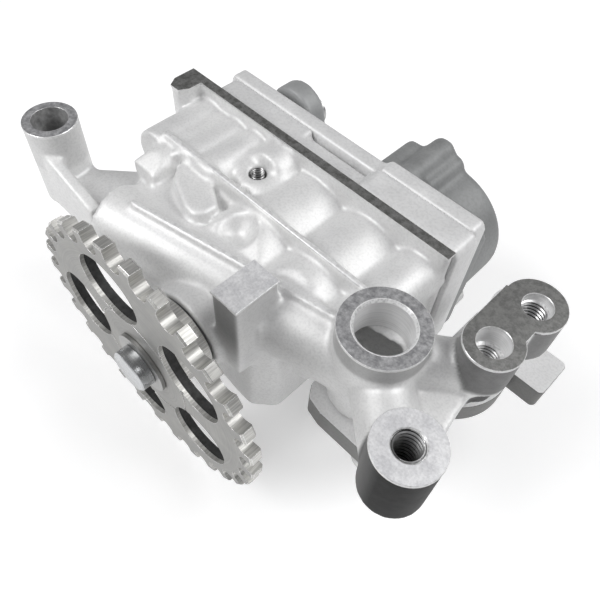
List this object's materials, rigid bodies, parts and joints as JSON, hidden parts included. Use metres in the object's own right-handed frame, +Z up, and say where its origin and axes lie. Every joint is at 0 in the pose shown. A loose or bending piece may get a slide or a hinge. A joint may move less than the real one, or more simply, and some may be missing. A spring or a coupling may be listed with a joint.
{
  "type": "engine oil pump",
  "caption": "Chain-driven gear oil pump: ribbed light alloy housing with a port arm and fixing bosses, toothed sprocket on its shaft, stacked rear plates and dark suction casting.",
  "frame": {"origin": "on the drive shaft's axis, in the plane of the housing's rear joint face", "axes": "+Z up towards the engine block, shaft along Y with the sprocket at -Y, port arm at +X"},
  "size_m": [0.1646, 0.1225, 0.0964],
  "materials": {
    "cast_aluminium": "as-cast satin, machined faces",
    "dark_casting": "dark matte coated casting",
    "hard_steel": "turned and stamped, satin",
    "dark_steel": "dark, polished by running",
    "bronze": "plain bearing bronze",
    "seal": "black seal",
    "copper_washer": "soft sealing washer",
    "zinc_screw": "zinc plated"
  },
  "bodies": {
    "pump": {"housing": "cast_aluminium", "cover_plate": "cast_aluminium", "rear_plate": "cast_aluminium", "rear_casting": "dark_casting", "rear_gasket": "seal", "inlet_seal": "seal", "foot_plate": "cast_aluminium", "front_bush": "bronze", "rear_bush": "bronze", "gear_pin": "hard_steel", "valve_plug": "zinc_screw", "plug_washer": "copper_washer", "valve_spring": "hard_steel", "gallery_plug": "hard_steel", "dowels": "hard_steel", "cover_screws": "zinc_screw", "foot_screws": "zinc_screw"},
    "rotor": {"drive_shaft": "dark_steel", "sprocket": "hard_steel", "sprocket_key": "hard_steel", "gear_key": "hard_steel", "shaft_ring": "dark_steel", "drive_gear": "hard_steel"},
    "driven": {"driven_gear": "hard_steel", "gear_bush": "bronze"},
    "piston": {"valve_piston": "hard_steel"}
  },
  "joints": [
    {"name": "rotor_spin", "type": "hinge", "parent": "pump", "child": "rotor", "pos_m": [0, 0, 0], "axis": [0, 1, 0], "continuous": true},
    {"name": "driven_spin", "type": "hinge", "parent": "pump", "child": "driven", "pos_m": [-0.02443, 0, -0.00889], "axis": [0, 1, 0], "continuous": true},
    {"name": "relief_slide", "type": "slide", "parent": "pump", "child": "piston", "axis": [0, 0, -1], "range_m": [0, 0.008], "stiffness_N_per_m": 6000, "springref_m": -0.0055, "deforming": ["valve_spring"]}
  ],
  "couplings": [
    {"joint": "driven_spin", "follows": "rotor_spin", "ratio": -1}
  ]
}
